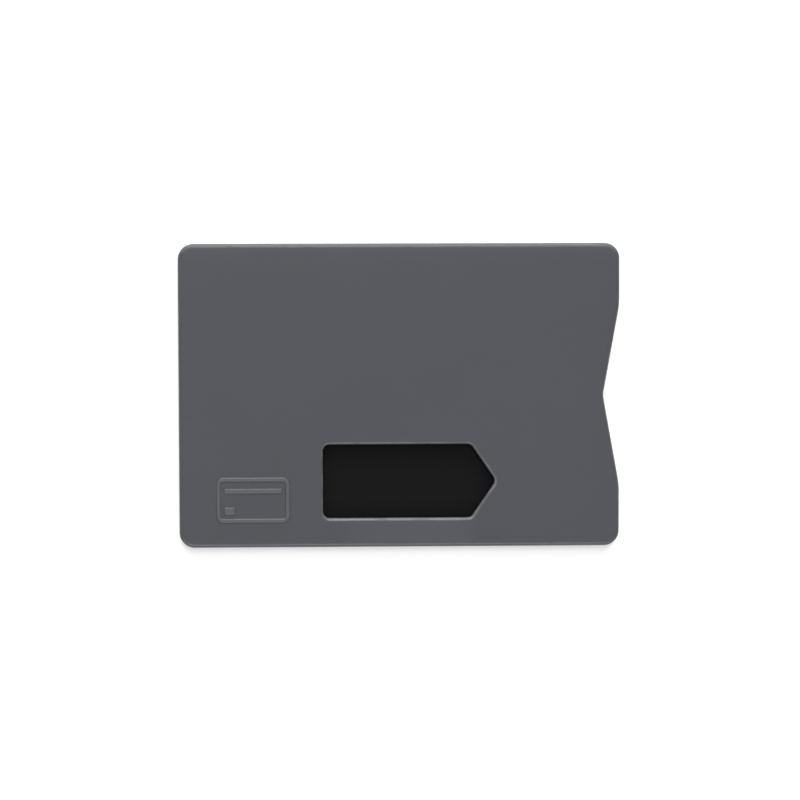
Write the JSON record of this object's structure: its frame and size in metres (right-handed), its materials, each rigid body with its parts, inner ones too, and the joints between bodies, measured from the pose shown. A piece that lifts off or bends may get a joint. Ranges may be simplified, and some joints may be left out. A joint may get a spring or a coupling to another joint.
{
  "type": "rfid card holder",
  "caption": "Slim rigid holder that shields a bank card, with a pointed thumb window in the front and a shallow V across its open end.",
  "frame": {"origin": "middle of the flat rear face", "axes": "+X towards the open end that the card goes in by, +Y to the long side away from the thumb window, +Z out of the front face"},
  "size_m": [0.092, 0.0634, 0.0052],
  "materials": {
    "grey_case_front": "satin moulded, mid grey",
    "grey_case_rear": "satin moulded, mid grey",
    "adhesive_film": "milky transfer film",
    "shield_foil": "bright rolled foil",
    "black_lining": "matte black film",
    "black_acetal": "moulded black"
  },
  "bodies": {
    "case": {"front_cover": "grey_case_front", "rear_cover": "grey_case_rear", "front_shield_adhesive": "adhesive_film", "front_shield_foil": "shield_foil", "front_lining": "black_lining", "rear_shield_adhesive": "adhesive_film", "rear_shield_foil": "shield_foil", "rear_lining": "black_lining"},
    "upper_finger": {"upper_spring_finger": "black_acetal"},
    "lower_finger": {"lower_spring_finger": "black_acetal"}
  },
  "joints": [
    {"name": "upper_finger_flex", "type": "hinge", "parent": "case", "child": "upper_finger", "pos_m": [0.037, 0.02895, 0.0025], "axis": [0, 0, -1], "range_deg": [0, 3.9], "stiffness_Nm_per_rad": 0.23},
    {"name": "lower_finger_flex", "type": "hinge", "parent": "case", "child": "lower_finger", "pos_m": [0.037, -0.02895, 0.0025], "axis": [0, 0, 1], "range_deg": [0, 3.9], "stiffness_Nm_per_rad": 0.23}
  ]
}
